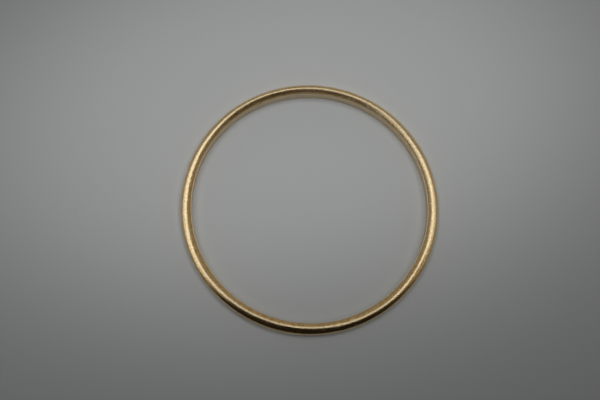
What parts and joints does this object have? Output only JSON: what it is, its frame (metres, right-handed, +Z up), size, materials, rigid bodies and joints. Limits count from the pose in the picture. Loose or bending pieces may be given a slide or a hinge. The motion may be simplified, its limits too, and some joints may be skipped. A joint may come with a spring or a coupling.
{
  "type": "bangle",
  "caption": "Plain closed bangle: one solid hoop of polished yellow gold, flat inside and domed outside, worn on the wrist and slipped on over the hand.",
  "frame": {"origin": "on the resting surface, straight below the centre of the opening, with the hoop lying on its side", "axes": "+Z up, along the hoop's own axis; the hoop is the same all round, so +X and +Y point at no feature"},
  "size_m": [0.0712, 0.0712, 0.0038],
  "materials": {
    "yellow_gold": "polished yellow gold, with fine wear scratches"
  },
  "bodies": {
    "root": {"hoop": "yellow_gold"}
  },
  "joints": []
}
